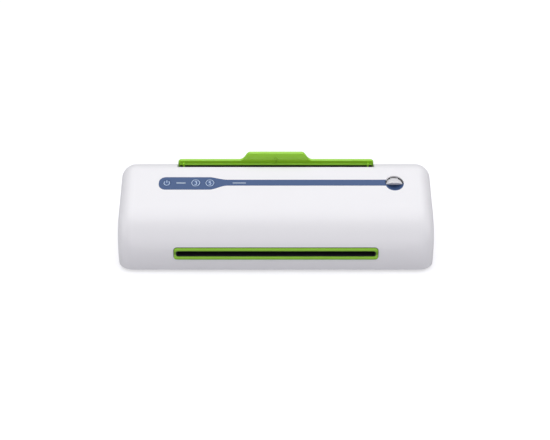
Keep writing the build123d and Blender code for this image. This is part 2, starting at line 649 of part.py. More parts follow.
# ---- gears and motor ----------------------------------------------------------------------------------------
def gear(teeth, phase, bore, width):
    """Involute spur gear along +X with a tooth centred on the phase angle, from the rear upwards."""
    pitch_r = MODULE * teeth / 2
    base_r = pitch_r * cos(radians(PRESSURE_ANGLE))
    tip_r = pitch_r + 0.95 * MODULE
    root_r = pitch_r - 1.2 * MODULE
    inv_pitch = tan(radians(PRESSURE_ANGLE)) - radians(PRESSURE_ANGLE)

    def half_angle(radius):
        pressure = acos(min(1.0, base_r / radius))
        return pi / (2 * teeth) * TOOTH_THIN + inv_pitch - (tan(pressure) - pressure)

    start_r = max(base_r, root_r)
    radii = [start_r + (tip_r - start_r) * step / FLANK_STEPS for step in range(FLANK_STEPS + 1)]
    flank = [(root_r, half_angle(start_r))] + [(radius, half_angle(radius)) for radius in radii]
    points = []
    for tooth in range(teeth):
        centre = radians(phase) + 2 * pi * tooth / teeth
        side = [(radius, centre - spread) for radius, spread in flank]
        side += [(radius, centre + spread) for radius, spread in reversed(flank)]
        points += [(radius * cos(angle), radius * sin(angle)) for radius, angle in side]
    outline = make_face(Polyline(*points, close=True))
    solid = extrude(Plane.YZ * outline, amount=width, dir=(1, 0, 0))
    return solid - Rot(0, 90, 0) * Cylinder(bore, 3 * width)


def place_gear(solid, depth, z, x=GEAR_X):
    return Pos(x, Y_FRONT + depth, z) * solid


def idler_centre():
    reach = MODULE * (ROLLER_TEETH + IDLER_TEETH) / 2
    return (ROLLER_DEPTH + reach * cos(radians(IDLER_LINE)), LOWER_Z + reach * sin(radians(IDLER_LINE)))


def idler_phase():
    return IDLER_LINE + 180 + 180 / IDLER_TEETH


def pinion_line():
    """Direction from the idler to the pinion: the idler tooth nearest to straight up."""
    step = 360 / IDLER_TEETH
    return idler_phase() - step * round((idler_phase() - 92) / step)


def pinion_centre():
    reach = MODULE * (IDLER_TEETH + PINION_TEETH) / 2
    depth, z = idler_centre()
    return depth + reach * cos(radians(pinion_line())), z + reach * sin(radians(pinion_line()))


def roller_gear(z, phase):
    wheel = gear(ROLLER_TEETH, phase, SHAFT_R, GEAR_W)
    return place_gear(wheel, ROLLER_DEPTH, z)


def idler_gear():
    depth, z = idler_centre()
    wheel = gear(IDLER_TEETH, idler_phase(), IDLER_BORE + RUN_FIT, GEAR_W)
    wheel -= Pos(GEAR_W, 0, 0) * Rot(0, 90, 0) * (Cylinder(9.5, 2.4) - Cylinder(5.2, 2.4))
    return place_gear(wheel, depth, z)


def idler_stud():
    depth, z = idler_centre()
    stud = rod(depth, z, IDLER_BORE, PLATE_IN + PLATE_T, GEAR_X + GEAR_W + 2.4)
    stud += rod(depth, z, 5.0, PLATE_IN + PLATE_T, GEAR_X - 0.4)
    groove_x = GEAR_X + GEAR_W + 0.5
    groove = rod(depth, z, 5, groove_x, groove_x + CLIP_T)
    return stud - (groove - rod(depth, z, IDLER_BORE - 0.7, groove_x, groove_x + CLIP_T))


def motor_pinion():
    depth, z = pinion_centre()
    wheel = gear(PINION_TEETH, pinion_line() + 180 + 180 / PINION_TEETH, MOTOR_SHAFT_R, GEAR_W)
    pinion = place_gear(wheel, depth, z)
    pinion += rod(depth, z, 4.4, GEAR_X + GEAR_W, GEAR_X + GEAR_W + 1.4)
    return pinion + rod(depth, z, MOTOR_SHAFT_R, GEAR_X + 0.5, MOTOR_X + 2.0)


def motor_ears():
    depth, z = pinion_centre()
    return [(depth + MOTOR_EAR * cos(radians(a)), z + MOTOR_EAR * sin(radians(a))) for a in MOTOR_EAR_ANGLES]


def drive_motor():
    """Round geared motor held off the plate on two posts."""
    depth, z = pinion_centre()
    motor = rod(depth, z, MOTOR_R, MOTOR_X, MOTOR_X + MOTOR_LONG)
    motor = fillet(motor.edges().sort_by(Axis.X)[-1:], 1.2)
    motor += rod(depth, z, 5.0, MOTOR_X - 1.2, MOTOR_X)
    for ear_depth, ear_z in motor_ears():
        motor += rod(ear_depth, ear_z, 4.0, MOTOR_X, MOTOR_X + 1.2)
        motor += rod(ear_depth, ear_z, 2.6, PLATE_IN + PLATE_T, MOTOR_X)
        motor -= rod(ear_depth, ear_z, 1.3, MOTOR_X - 6, MOTOR_X + 3)
    motor += block(MOTOR_X + 4, MOTOR_X + 11, depth - MOTOR_R - 2.5, depth - MOTOR_R + 3, z - 5, z + 5)
    return motor - rod(depth, z, MOTOR_SHAFT_R + RUN_FIT, MOTOR_X - 3, MOTOR_X + 3)


def motor_screws():
    places = [Location((MOTOR_X + 1.2, Y_FRONT + d, z), (0, -90, 0)) for d, z in motor_ears()]
    return Compound(children=[place * screw(2.4, 1.3, 1.28, 6) for place in places])


# ---- heat ---------------------------------------------------------------------------------------------------------
def shoe_crown():
    """Height of the pads on top of the upper shoe."""
    return UPPER_Z + ROLLER_R + SHOE_GAP + SHOE_T + 0.6


def heater_shoe(z, span, gap):
    inner = ROLLER_R + gap
    return arc_band(ROLLER_DEPTH, z, inner, inner + SHOE_T, *span, SHOE_HALF)


def upper_heater_shoe():
    shoe = heater_shoe(UPPER_Z, UPPER_SHOE, SHOE_GAP)
    shoe += block(-60, 60, ROLLER_DEPTH - 7, ROLLER_DEPTH - 1, shoe_crown() - 2.6, shoe_crown())
    tab_z = UPPER_Z + 3
    for x in (-SHOE_HALF, SHOE_HALF - 14):
        depth = ROLLER_DEPTH + ROLLER_R + SHOE_GAP + 0.5
        shoe += block(x, x + 14, depth, 96.0, tab_z, tab_z + 2)
    return shoe


def heater_element(z, start, end, gap, half):
    inner = ROLLER_R + gap + SHOE_T + 0.02
    return arc_band(ROLLER_DEPTH, z, inner, inner + HEATER_T, start, end, half)


def thermostat():
    top = shoe_crown()
    x, depth = -30.0, ROLLER_DEPTH - 4
    body = post(x, depth, 6.0, top, top + 3.2) + post(x, depth, 4.4, top + 3.2, top + 5.0)
    for side in (-1, 1):
        body += block(x + side * 8 - 3, x + side * 8 + 3, depth - 1.6, depth + 1.6, top + 1.2, top + 2.0)
    return body


def thermal_fuse():
    depth, z = ROLLER_DEPTH - 4, shoe_crown() + 2.0
    return rod(depth, z, 2.0, 26, 38) + rod(depth, z, 0.6, 20, 44)


# ---- paper path ------------------------------------------------------------------------------------------------------
def guide(points, thickness):
    """Bent sheet: the points are its paper side, and the thickness is added above or below."""
    back = [(depth, z + thickness) for depth, z in reversed(points)]
    return slab(points + back, -GUIDE_HALF, GUIDE_HALF)


def guide_ribs(points, height, count):
    ribs = []
    back = [(depth, z + height) for depth, z in reversed(points)]
    for step in range(count):
        x = -GUIDE_HALF + 12 + step * (2 * GUIDE_HALF - 24) / (count - 1)
        ribs.append(slab(points + back, x - 0.8, x + 0.8))
    return ribs


def exit_guide_lower():
    path = [(10.5, 24.3), (40.0, 26.4), (65.5, 29.2)]
    plate = guide(path, -GUIDE_T)
    for rib in guide_ribs(path[:2], -5.0, 7):
        plate += rib
    for side in (-1, 1):
        plate += block(side * 129.5 - 8.5, side * 129.5 + 8.5, 52, 60, 27.0, 28.2)
    return plate


def exit_guide_upper():
    path = [(10.5, 30.2), (40.0, 32.2), (65.0, 33.4)]
    plate = guide(path, GUIDE_T)
    for rib in guide_ribs(path[:2], 5.0, 7):
        plate += rib
    for side in (-1, 1):
        plate += block(side * 129.5 - 8.5, side * 129.5 + 8.5, 50, 58, 32.8, 34.0)
    return plate


def entry_guide_lower():
    path = [(87.2, 29.4), (100.0, 28.6), (121.4, 28.0)]
    plate = guide(path, -GUIDE_T)
    plate += slab([(118.5, 27.4), (120.5, 27.4), (120.5, PAN_BOTTOM + PAN_FLOOR + 0.1),
                   (118.5, PAN_BOTTOM + PAN_FLOOR + 0.1)], -GUIDE_HALF, GUIDE_HALF)
    for rib in guide_ribs(path[1:], -6.0, 7):
        plate += rib
    for side in (-1, 1):
        plate += block(side * 129.5 - 8.5, side * 129.5 + 8.5, 88, 96, 27.2, 28.4)
    return plate


def entry_guide_upper():
    path = [(90.8, 34.0), (97.0, 38.0), (98.6, 42.0), (98.6, 44.8)]
    front = [(depth - GUIDE_T, z + 0.7) for depth, z in reversed(path)]
    plate = slab(path + front, -GUIDE_HALF, GUIDE_HALF)
    return plate


# ---- electrics --------------------------------------------------------------------------------------------------------
def control_board():
    boards = []
    for x0, x1 in (POWER_BOARD, CONTROL_BOARD):
        board = Pos((x0 + x1) / 2, sum(BOARD_Y) / 2, BOARD_TOP - BOARD_T / 2) * Box(
            x1 - x0, BOARD_Y[1] - BOARD_Y[0], BOARD_T)
        for x in BOARD_BOSSES:
            board -= Pos(x, BOARD_BOSS_Y, BOARD_TOP) * Cylinder(1.1, 6)
        boards.append(on_panel(board))
    return Compound(children=boards)


def board_screws():
    screws = [Location((x, BOARD_BOSS_Y, BOARD_TOP - BOARD_T), (0, 0, 0)) * screw(1.9, 1.1, 0.88, 5)
              for x in BOARD_BOSSES]
    return on_panel(Compound(children=screws))


def tactile_switches():
    switches = []
    for x, _ in KEYS.values():
        body = Pos(x, 0, BOARD_TOP + 1.5) * Box(5.4, 5.4, 3.0)
        switches.append(body + Pos(x, 0, BOARD_TOP + 3.2) * Cylinder(1.6, 0.6))
    return on_panel(Compound(children=switches))


def main_board():
    x0, x1, depth0, depth1 = MAIN_BOARD
    board = block(x0, x1, depth0, depth1, MAIN_BOARD_Z, MAIN_BOARD_Z + MAIN_BOARD_T)
    for x, depth in MAIN_BOARD_POSTS:
        board -= post(x, depth, 1.2, 0, 30)
    return board


def main_board_screws():
    top = MAIN_BOARD_Z + MAIN_BOARD_T
    return Compound(children=[Location((x, Y_FRONT + depth, top), (180, 0, 0)) * screw(2.2, 1.2, 0.95, 5)
                              for x, depth in MAIN_BOARD_POSTS])


def board_components():
    """Transformer, filter capacitor, relay, power switch device, fuse and two wire blocks."""
    top = MAIN_BOARD_Z + MAIN_BOARD_T
    transformer = block(-178, -156, 60, 80, top, top + 17) + block(-176, -158, 57, 83, top + 4, top + 13)
    capacitor = block(-176, -162, 46, 53, top, top + 11)
    can = post(-154.5, 50.0, 4.0, top, top + 14)
    relay = block(-156, -149, 86, 90, top, top + 9)
    driver = block(-182, -176.5, 86, 90, top, top + 15)
    wire_block = block(-172, -160, 86, 94, top, top + 9)
    low_block = block(-172, -156, 36, 41, top, top + 7)
    parts = [transformer, capacitor, can, relay, driver, wire_block, low_block]
    return Compound(children=parts)


def motor_leads():
    """Pair of wires from the motor under the rollers to the main board."""
    depth, z = pinion_centre()
    start = at(depth - MOTOR_R - 3.4, z - 2.0, MOTOR_X + 7.5)
    route = [start, at(22, 30, 158), at(22, 14, 134), at(22, 10, 60), at(22, 10, -60),
             at(22, 13, -130), at(28, 20, -152), at(34.5, 20.0, -164)]
    wires = [tube_along([point + Vector(0, 0, 2.2 * step) for point in route], 0.8) for step in (0, 1)]
    return Compound(children=wires)


def heater_leads():
    """One lead over the left plate from the upper heater, one round behind it from the lower heater."""
    over = [at(ROLLER_DEPTH + 5.7, UPPER_Z + 15.6, -SHOE_HALF - 1.6), at(67, 63, -124), at(65, 70, -139),
            at(72, 50, -153), at(90, 24.5, -164)]
    behind = [at(ROLLER_DEPTH + 14.4, LOWER_Z - 5.2, -SHOE_HALF - 1.6), at(99, 12.5, -128), at(110, 12.5, -139),
              at(105, 18.5, -151), at(91.5, 24.5, -168)]
    return Compound(children=[tube_along(route, 0.9) for route in (over, behind)])


# ---- write the parts -------------------------------------------------------------------------------------------------
def build():
    idler_depth, idler_z = idler_centre()
    upper_phase = 270 + 180 / ROLLER_TEETH
    plate = side_plate()
    link = lift_link()
    low_bearing = lower_bearing()
    high_bearing = upper_bearing()
    spring = pressure_spring()
    groove_x = GEAR_X + GEAR_W + 0.5
    nodes = {
        "top_cover": top_cover(),
        "recess_liner": recess_liner(),
        "base_pan": base_pan(),
        "rubber_feet": rubber_feet(),
        "exit_bezel": exit_bezel(),
        "exit_throat": exit_throat(),
        "control_strip": control_strip(),
        "release_lever": release_lever(),
        "release_shaft": rod(RELEASE_DEPTH, RELEASE_Z, RELEASE_R, -PLATE_IN - 3.5, LEVER_X + 7),
        "release_cranks": pair(release_crank()),
        "lift_links": pair(link),
        "upper_bearings": pair(high_bearing),
        "lower_bearings": pair(low_bearing),
        "pressure_springs": pair(spring),
        "left_side_plate": mirror(plate, about=Plane.YZ),
        "right_side_plate": plate - [rod(d, z, 1.6, 130, 145) for d, z in motor_ears()] - rod(
            idler_depth, idler_z, 1.5, 130, 145),
        "tie_bars": tie_bars(),
        "upper_roller_shaft": roller_shaft(UPPER_Z),
        "upper_roller_sleeve": roller_sleeve(UPPER_Z),
        "upper_roller_gear": roller_gear(UPPER_Z, upper_phase),
        "upper_roller_clips": shaft_clips(UPPER_Z),
        "lower_roller_shaft": roller_shaft(LOWER_Z),
        "lower_roller_sleeve": roller_sleeve(LOWER_Z),
        "lower_roller_gear": roller_gear(LOWER_Z, 90),
        "lower_roller_clips": shaft_clips(LOWER_Z),
        "idler_gear": idler_gear(),
        "idler_stud": idler_stud(),
        "idler_clip": clip(idler_depth, idler_z, IDLER_BORE, groove_x),
        "motor_pinion": motor_pinion(),
        "drive_motor": drive_motor(),
        "motor_screws": motor_screws(),
        "upper_heater_shoe": upper_heater_shoe(),
        "lower_heater_shoe": heater_shoe(LOWER_Z, LOWER_SHOE, LOWER_SHOE_GAP),
        "upper_heater_element": heater_element(UPPER_Z, *UPPER_HEATER, SHOE_GAP, SHOE_HALF - 8),
        "lower_heater_element": heater_element(LOWER_Z, *LOWER_HEATER, LOWER_SHOE_GAP, SHOE_HALF - 8),
        "thermostat": thermostat(),
        "thermal_fuse": thermal_fuse(),
        "entry_guide_upper": entry_guide_upper(),
        "entry_guide_lower": entry_guide_lower(),
        "exit_guide_upper": exit_guide_upper(),
        "exit_guide_lower": exit_guide_lower(),
        "control_board": control_board(),
        "board_screws": board_screws(),
        "tactile_switches": tactile_switches(),
        "main_board": main_board(),
        "main_board_screws": main_board_screws(),
        "board_components": board_components(),
        "motor_leads": motor_leads(),
        "heater_leads": heater_leads(),
        "cord_gland": cord_gland(),
        "case_screws": case_screws(),
        "frame_screws": frame_screws(),
        "foot_screws": foot_screws(),
        "input_tray": input_tray(),
        "tray_grip": tray_grip(),
        "tray_hinge_pins": tray_hinge_pins(),
    }
    for name, (x, radius) in KEYS.items():
        nodes[name] = key(x, radius)
    for name, (x, length, height) in LIGHTS.items():
        nodes[name] = light(x, length, height)
    return nodes


os.makedirs("parts", exist_ok=True)
for node_name, node_shape in build().items():
    export_step(node_shape, f"parts/{node_name}.step")
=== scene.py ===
import json
from math import asin, cos, pi, radians, sin

import bmesh
import bpy
from mathutils import Matrix, Vector


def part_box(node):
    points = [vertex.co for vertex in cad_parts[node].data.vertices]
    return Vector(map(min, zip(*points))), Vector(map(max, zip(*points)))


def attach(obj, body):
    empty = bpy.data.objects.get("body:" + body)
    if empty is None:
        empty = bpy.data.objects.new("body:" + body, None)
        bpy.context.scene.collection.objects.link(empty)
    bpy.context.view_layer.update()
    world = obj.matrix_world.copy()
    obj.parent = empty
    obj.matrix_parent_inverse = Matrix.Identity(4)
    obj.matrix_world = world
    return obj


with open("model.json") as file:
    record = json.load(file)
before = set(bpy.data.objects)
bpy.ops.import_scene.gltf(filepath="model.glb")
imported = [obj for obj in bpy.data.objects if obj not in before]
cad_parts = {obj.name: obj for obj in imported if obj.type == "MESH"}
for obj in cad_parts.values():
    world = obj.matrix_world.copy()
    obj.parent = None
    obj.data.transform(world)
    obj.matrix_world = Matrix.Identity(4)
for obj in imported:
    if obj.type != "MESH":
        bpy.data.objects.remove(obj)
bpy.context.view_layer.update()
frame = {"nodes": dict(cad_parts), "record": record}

MM = 0.001
NODES = frame["nodes"]
JOINTS = {joint["name"]: joint for joint in frame["record"]["behaviour"]["joints"]}


# ---- materials ------------------------------------------------------------------------------
NOISE_LOW, NOISE_HIGH = 0.3, 0.7  # the part of the noise's range that colour and gloss follow
FINE_RELIEF = 0.00002             # depth of moulding grain and machining marks, in metres
SOFT_RELIEF = 0.00003             # depth of the relief of rubber and circuit boards, in metres
COAT_ROUGHNESS = 0.12


def new_material(name, colour, roughness, **sockets):
    """A material with one principled shader, and the values that are the same all over it."""
    material = bpy.data.materials.new(name)
    material.use_nodes = True
    shader = material.node_tree.nodes["Principled BSDF"]
    shader.inputs["Base Color"].default_value = (*colour, 1.0)
    shader.inputs["Roughness"].default_value = roughness
    for socket, value in sockets.items():
        shader.inputs[socket.replace("_", " ")].default_value = value
    return material, material.node_tree, shader


def noise(tree, scale, detail=4.0, stretch=(1.0, 1.0, 1.0)):
    """Noise in the object's own frame, stretched along an axis where the surface has a grain."""
    place = tree.nodes.new("ShaderNodeTexCoord")
    mapping = tree.nodes.new("ShaderNodeMapping")
    mapping.inputs["Scale"].default_value = stretch
    texture = tree.nodes.new("ShaderNodeTexNoise")
    texture.inputs["Scale"].default_value = scale
    texture.inputs["Detail"].default_value = detail
    tree.links.new(place.outputs["Object"], mapping.inputs["Vector"])
    tree.links.new(mapping.outputs["Vector"], texture.inputs["Vector"])
    return texture.outputs["Fac"]


def vary_roughness(tree, shader, source, low, high):
    """Let the roughness follow a noise between two values."""
    ramp = tree.nodes.new("ShaderNodeMapRange")
    ramp.inputs["From Min"].default_value = NOISE_LOW
    ramp.inputs["From Max"].default_value = NOISE_HIGH
    ramp.inputs["To Min"].default_value = low
    ramp.inputs["To Max"].default_value = high
    tree.links.new(source, ramp.inputs["Value"])
    tree.links.new(ramp.outputs["Result"], shader.inputs["Roughness"])


def vary_colour(tree, shader, source, dark, light):
    """Let the colour follow a noise between two shades."""
    ramp = tree.nodes.new("ShaderNodeValToRGB")
    ramp.color_ramp.elements[0].position = NOISE_LOW
    ramp.color_ramp.elements[0].color = (*dark, 1.0)
    ramp.color_ramp.elements[1].position = NOISE_HIGH
    ramp.color_ramp.elements[1].color = (*light, 1.0)
    tree.links.new(source, ramp.inputs["Fac"])
    tree.links.new(ramp.outputs["Color"], shader.inputs["Base Color"])


def add_bump(tree, shader, source, strength, distance):
    """Let the surface relief follow a noise."""
    bump = tree.nodes.new("ShaderNodeBump")
    bump.inputs["Strength"].default_value = strength
    bump.inputs["Distance"].default_value = distance
    tree.links.new(source, bump.inputs["Height"])
    tree.links.new(bump.outputs["Normal"], shader.inputs["Normal"])


def shade(colour, factor):
    return tuple(channel * factor for channel in colour)


def moulded(name, colour, roughness, coat=0.0, grain=0.15, tint=0.02, wear=0.03, **sockets):
    """Injection-moulded plastic: a faint spark-eroded grain and slow changes in tone and gloss."""
    material, tree, shader = new_material(name, colour, roughness, Coat_Weight=coat,
                                          Coat_Roughness=COAT_ROUGHNESS, **sockets)
    slow = noise(tree, 18.0, detail=3.0)
    fine = noise(tree, 2600.0, detail=2.0)
    vary_colour(tree, shader, slow, shade(colour, 1 - tint), shade(colour, 1 + tint / 2))
    vary_roughness(tree, shader, noise(tree, 25.0, detail=1.0), roughness - wear, roughness + wear)
    add_bump(tree, shader, fine, grain, FINE_RELIEF)
    return material


def metal(name, colour, roughness, grain_axis=(1.0, 1.0, 1.0), scale=500.0, depth=0.25):
    """Bare metal with its machining or rolling marks along one axis."""
    material, tree, shader = new_material(name, colour, roughness, Metallic=1.0)
    marks = noise(tree, scale, detail=6.0, stretch=grain_axis)
    vary_roughness(tree, shader, marks, roughness - 0.08, roughness + 0.12)
    vary_colour(tree, shader, noise(tree, 40.0, detail=5.0), shade(colour, 0.88), colour)
    add_bump(tree, shader, marks, depth, FINE_RELIEF)
    return material


def soft_rubber(name, colour, roughness, tint=0.12):
    """Matt rubber or wire insulation with a fine relief."""
    material, tree, shader = new_material(name, colour, roughness)
    cloud = noise(tree, 90.0, detail=6.0)
    vary_colour(tree, shader, cloud, shade(colour, 1 - tint), shade(colour, 1 + tint))
    vary_roughness(tree, shader, cloud, roughness - 0.08, roughness + 0.06)
    add_bump(tree, shader, noise(tree, 1500.0), 0.3, SOFT_RELIEF)
    return material


def circuit_board(name):
    """Solder mask with a hint of copper tracks under it."""
    material, tree, shader = new_material(name, (0.01, 0.08, 0.03), 0.35, Coat_Weight=0.4)
    place = tree.nodes.new("ShaderNodeTexCoord")
    tracks = tree.nodes.new("ShaderNodeTexBrick")
    tracks.inputs["Scale"].default_value = 260.0
    tracks.inputs["Mortar Size"].default_value = 0.06
    tracks.inputs["Color1"].default_value = (0.01, 0.09, 0.03, 1.0)
    tracks.inputs["Color2"].default_value = (0.008, 0.06, 0.025, 1.0)
    tracks.inputs["Mortar"].default_value = (0.03, 0.17, 0.06, 1.0)
    tree.links.new(place.outputs["Object"], tracks.inputs["Vector"])
    tree.links.new(tracks.outputs["Color"], shader.inputs["Base Color"])
    add_bump(tree, shader, tracks.outputs["Fac"], 0.2, SOFT_RELIEF)
    return material


def lens(name, colour):
    """Light pipe: tinted clear plastic with a milky core."""
    material, tree, shader = new_material(name, colour, 0.25, Transmission_Weight=0.15, Coat_Weight=0.3)
    cloud = noise(tree, 900.0, detail=3.0)
    vary_colour(tree, shader, cloud, shade(colour, 0.93), shade(colour, 1.05))
    add_bump(tree, shader, cloud, 0.1, FINE_RELIEF)
    return material


WHITE = (0.79, 0.785, 0.795)
GREEN = (0.31, 0.66, 0.026)
BLUE = (0.052, 0.098, 0.222)
PRINT = (0.50, 0.63, 0.82)

white = moulded("white_abs", WHITE, 0.34, coat=0.12, grain=0.06, tint=0.004, wear=0.008)
white_inside = moulded("white_abs_pan", shade(WHITE, 0.97), 0.42, grain=0.3)
# The lever's white is dimmed to 0.86 of the shell's: painted shade for the darker tone of the angled
# lever.
white_lever = moulded("white_lever_abs_painted_shade", shade(WHITE, 0.86), 0.28, coat=0.2, grain=0.05, tint=0.006,
                      wear=0.01)
green = moulded("green_abs", GREEN, 0.30, coat=0.2, grain=0.06, tint=0.015, wear=0.015)
blue = moulded("blue_strip", BLUE, 0.42, grain=0.06, tint=0.02, wear=0.02, Specular_IOR_Level=0.3)
blue_key = moulded("blue_key", shade(BLUE, 1.04), 0.40, grain=0.06, tint=0.02, wear=0.02,
                   Specular_IOR_Level=0.3)
# The exit frame's green is the tray's green dimmed to 0.82: painted shade on the exit frame.
green_frame_painted_shade = moulded("green_frame_painted_shade", shade(GREEN, 0.82), 0.30, coat=0.2, grain=0.06, tint=0.015,
                      wear=0.015)
# The tab arrow's green is the tray's green dimmed to 0.82: painted shade for the arrow's outlines.
green_relief_painted_shade = moulded("green_relief_painted_shade", shade(GREEN, 0.82), 0.34, coat=0.1, grain=0.06, tint=0.015,
                       wear=0.015)
ink = moulded("legend_ink", PRINT, 0.45, grain=0.05, tint=0.03)
clear_blue = lens("light_lens", shade(PRINT, 0.72))
foot = soft_rubber("foot_rubber", (0.02, 0.02, 0.021), 0.75)
silicone = soft_rubber("roller_silicone", (0.30, 0.055, 0.03), 0.55, tint=0.08)
turned = metal("turned_steel", (0.56, 0.56, 0.57), 0.24, grain_axis=(0.03, 1.0, 1.0))
sheet_steel = metal("zinc_sheet", (0.62, 0.63, 0.65), 0.36, grain_axis=(1.0, 0.08, 1.0), scale=300.0)
wire_steel = metal("spring_steel", (0.45, 0.45, 0.46), 0.30, scale=700.0)
motor_can = metal("motor_can", (0.50, 0.50, 0.50), 0.33, grain_axis=(0.05, 1.0, 1.0), scale=350.0)
extrusion = metal("heater_aluminium", (0.72, 0.72, 0.73), 0.34, grain_axis=(0.02, 1.0, 1.0), scale=600.0)
fuse_metal = metal("fuse_can", (0.66, 0.62, 0.50), 0.30)
mica = moulded("heater_mica", (0.33, 0.23, 0.11), 0.5, grain=0.6, tint=0.25)
phenolic = moulded("thermostat_phenolic", (0.05, 0.028, 0.018), 0.4, grain=0.3, tint=0.1)
acetal = moulded("acetal", (0.72, 0.70, 0.62), 0.38, grain=0.1, tint=0.03)
bearing = moulded("bearing_polymer", (0.02, 0.02, 0.022), 0.4, grain=0.3, tint=0.1)
guide = moulded("guide_polymer", (0.015, 0.015, 0.017), 0.45, grain=0.5, tint=0.1)
black = moulded("component_black", (0.012, 0.012, 0.013), 0.38, grain=0.3, tint=0.15)
gland = moulded("gland_black", (0.014, 0.014, 0.015), 0.5, grain=0.5, tint=0.1)
board = circuit_board("solder_mask")
red_wire = soft_rubber("wire_red", (0.35, 0.012, 0.01), 0.4)
white_wire = soft_rubber("wire_sleeve", (0.62, 0.61, 0.55), 0.65, tint=0.06)

FINISH = {
    "white_shell": white, "white_lever": white_lever, "green_plastic": green, "blue_plastic": blue,
    "blue_keys": blue_key, "light_lens": clear_blue, "foot_rubber": foot, "roller_silicone": silicone,
    "steel": turned, "plate_steel": sheet_steel, "spring_steel": wire_steel, "bearing_plastic": bearing,
    "gear_plastic": acetal, "motor_can": motor_can, "heater_aluminium": extrusion, "heater_mica": mica,
    "thermostat_body": phenolic, "fuse_body": fuse_metal, "guide_plastic": guide, "circuit_board": board,
    "component_black": black, "wire_red": red_wire, "wire_white": white_wire, "gland_black": gland,
}
OWN_FINISH = {"base_pan": white_inside, "exit_bezel": green_frame_painted_shade}
SHARP_ANGLE = radians(38)


def dress_cad_nodes():
    """Give every CAD node its own material, or else that of its slot in the record."""
    for part in frame["record"]["subparts"]:
        surface = OWN_FINISH.get(part["node"], FINISH[part["material_slot"]])
        node = NODES[part["node"]]
        node.data.materials.clear()
        node.data.materials.append(surface)


def soften_edges(node, width, segments=3):
    """Round a node's sharp edges, as a mould leaves them."""
    bevel = NODES[node].modifiers.new("edge_round", "BEVEL")
    bevel.width = width
    bevel.segments = segments
    bevel.limit_method = "ANGLE"
    bevel.angle_limit = SHARP_ANGLE
    bevel.use_clamp_overlap = True
    bevel.harden_normals = True


# ---- places on the object -------------------------------------------------------------------
SLOPE = asin(JOINTS["power_key_press"]["axis"][1])
TRAY_HINGE = Vector(JOINTS["tray_hinge"]["pos_m"])
TRAY_LEAN = radians(JOINTS["tray_hinge"]["range_deg"][1] - 90)
LIGHT_HEIGHT = 1.8 * MM


def panel_matrix():
    """Frame of the sloping panel: x across, y up the slope, z outwards, from the tops of the keys."""
    low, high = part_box("ready_light")
    half = LIGHT_HEIGHT / 2
    origin = Vector((0.0, low[1] + half * cos(SLOPE), high[2] - half * sin(SLOPE)))
    return Matrix.Translation(origin) @ Matrix.Rotation(SLOPE, 4, "X")


PANEL = panel_matrix()


def middle_x(node):
    low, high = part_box(node)
    return (low[0] + high[0]) / 2


# ---- legends on the keys --------------------------------------------------------------------
PRINT_HEIGHT = 0.08 * MM
PRINT_SINK = 0.01 * MM
RING_RADIUS = 4.9 * MM
RING_LINE = 0.7 * MM
DIGIT_HEIGHT = 5.4 * MM
DIGIT_LINE = 0.14   # share of the digit's height
POWER_RADIUS = 3.4 * MM
POWER_LINE = 0.24   # share of the symbol's radius
POWER_GAP = 42      # degrees left open on each side of the symbol's top


def ribbon(points, width, closed=False):
    """Left and right sides of a flat stroke of constant width along a line of 2-D points."""
    left, right = [], []
    count = len(points)
    for index, point in enumerate(points):
        before = points[index - 1] if closed or index else point
        after = points[(index + 1) % count] if closed or index + 1 < count else point
        along = Vector(after) - Vector(before)
        side = Vector((-along.y, along.x)).normalized() * width / 2
        left.append(Vector(point) + side)
        right.append(Vector(point) - side)
    return left, right


def stroke_mesh(strokes, thickness):
    """Raised print: each stroke is a thin solid band with its top edges slightly drawn in."""
    insets_and_heights = ((0.0, 0.0), (0.0, 0.6 * thickness), (0.12, thickness))
    build = bmesh.new()
    for points, width, closed in strokes:
        rows = []
        for inset, z in insets_and_heights:
            left, right = ribbon(points, width * (1 - inset), closed)
            rows.append(([build.verts.new((p.x, p.y, z)) for p in left],
                         [build.verts.new((p.x, p.y, z)) for p in right]))
        span = len(points) if closed else len(points) - 1
        for step in range(span):
            after = (step + 1) % len(points)
            for (left_a, right_a), (left_b, right_b) in zip(rows, rows[1:]):
                build.faces.new((left_a[step], left_a[after], left_b[after], left_b[step]))
                build.faces.new((right_a[after], right_a[step], right_b[step], right_b[after]))
            left, right = rows[-1]
            build.faces.new((left[step], left[after], right[after], right[step]))
            left, right = rows[0]
            build.faces.new((right[step], right[after], left[after], left[step]))
        if not closed:
            for end in (0, -1):
                for (left_a, right_a), (left_b, right_b) in zip(rows, rows[1:]):
                    build.faces.new((left_a[end], left_b[end], right_b[end], right_a[end]))
    bmesh.ops.recalc_face_normals(build, faces=build.faces)
    mesh = bpy.data.meshes.new("legend")
    build.to_mesh(mesh)
    build.free()
    return mesh


def arc(cx, cy, radius_x, radius_y, start, end, steps=18):
    """Points on part of an ellipse, between two angles in degrees."""
    angles = [radians(start + (end - start) * step / steps) for step in range(steps + 1)]
    return [(cx + radius_x * cos(a), cy + radius_y * sin(a)) for a in angles]


def soft_hexagon(radius, steps=72):
    """Ring with six slight points, as the pouch keys carry."""
    points = []
    for step in range(steps):
        angle = 2 * pi * step / steps
        bulge = radius * (1 + 0.03 * cos(6 * angle))
        points.append((bulge * cos(angle), bulge * sin(angle)))
    return points


def numeral_three(size):
    upper = arc(0, 0.245 * size, 0.235 * size, 0.215 * size, 150, -80)
    lower = arc(0, -0.225 * size, 0.265 * size, 0.245 * size, 80, -150)
    return [(upper + lower, DIGIT_LINE * size, False)]


def numeral_five(size):
    top = 0.46 * size
    flag = [(0.21 * size, top), (-0.16 * size, top), (-0.20 * size, 0.06 * size)]
    bowl = arc(-0.01 * size, -0.17 * size, 0.26 * size, 0.27 * size, 130, -150, 22)
    return [(flag, DIGIT_LINE * size, False), (bowl, DIGIT_LINE * size, False)]


def power_mark(radius):
    ring = arc(0, -0.06 * radius, radius, radius, 90 + POWER_GAP, 450 - POWER_GAP, 40)
    bar = [(0, radius * 0.1), (0, radius * 0.65), (0, radius * 1.2)]
    return [(ring, radius * POWER_LINE, False), (bar, radius * POWER_LINE, False)]


